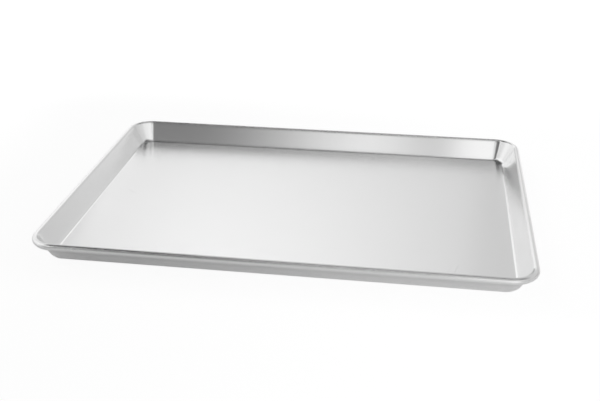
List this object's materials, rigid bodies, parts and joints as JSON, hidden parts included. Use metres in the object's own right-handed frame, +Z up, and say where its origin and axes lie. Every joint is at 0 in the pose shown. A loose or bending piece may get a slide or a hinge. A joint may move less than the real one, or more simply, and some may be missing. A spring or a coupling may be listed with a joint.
{
  "type": "rimmed baking sheet",
  "caption": "Shallow rectangular aluminium baking sheet with outward-leaning walls, rounded corners and a rolled rim stiffened by a hidden steel wire, for baking flat goods in an oven.",
  "frame": {"origin": "middle of the floor's underside, on the surface that the pan stands on", "axes": "+X along the length, +Y along the width away from the front long side, +Z up out of the pan's mouth"},
  "size_m": [0.5334, 0.381, 0.0254],
  "materials": {
    "pan_aluminium": "bare natural aluminium with a satin rolled finish, fine grain along the length and drawing streaks on the walls",
    "wire_steel": "dull galvanised drawn wire"
  },
  "bodies": {
    "root": {"pan_sheet": "pan_aluminium", "rim_wire": "wire_steel"}
  },
  "joints": []
}
